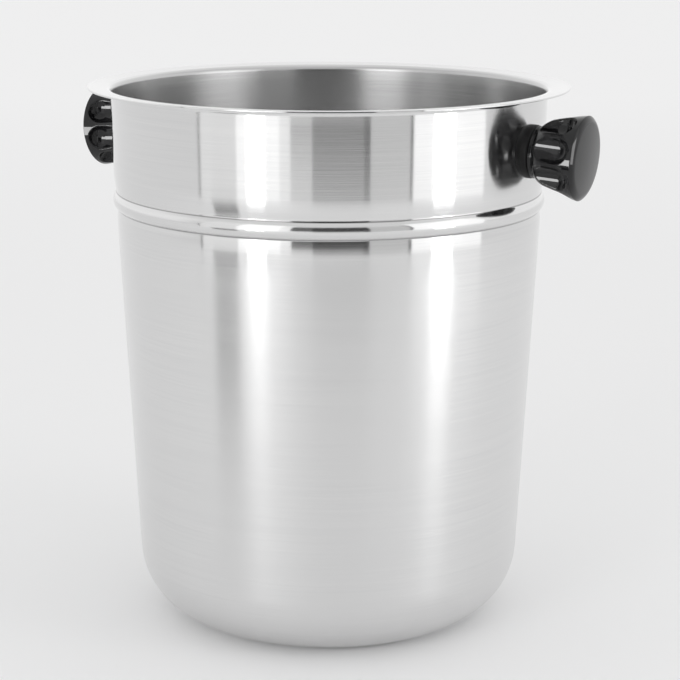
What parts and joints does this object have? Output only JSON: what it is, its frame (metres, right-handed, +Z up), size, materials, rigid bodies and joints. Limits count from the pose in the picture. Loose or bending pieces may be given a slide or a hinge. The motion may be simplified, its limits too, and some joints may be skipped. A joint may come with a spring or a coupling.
{
  "type": "ice bucket",
  "caption": "Round tapered stainless steel ice bucket for a bottle, with a turned-out rim, a beaded collar and fluted black knobs to carry it by.",
  "frame": {"origin": "centre of the base, on the surface that the bucket stands on", "axes": "+Z up along the bucket's axis, knobs along +X and -X"},
  "size_m": [0.25, 0.2172, 0.2465],
  "materials": {
    "stainless": "satin body, polished collar",
    "knob_black": "glossy moulded",
    "rubber": "matt moulded",
    "brass": "turned",
    "fastener_steel": "plain stainless"
  },
  "bodies": {
    "root": {"bucket_shell": "stainless", "right_knob_grip": "knob_black", "left_knob_grip": "knob_black", "right_knob_insert": "brass", "left_knob_insert": "brass", "right_sealing_ring": "rubber", "left_sealing_ring": "rubber", "right_inner_washer": "fastener_steel", "left_inner_washer": "fastener_steel", "right_lock_washer": "fastener_steel", "left_lock_washer": "fastener_steel", "right_knob_screw": "fastener_steel", "left_knob_screw": "fastener_steel"}
  },
  "joints": []
}
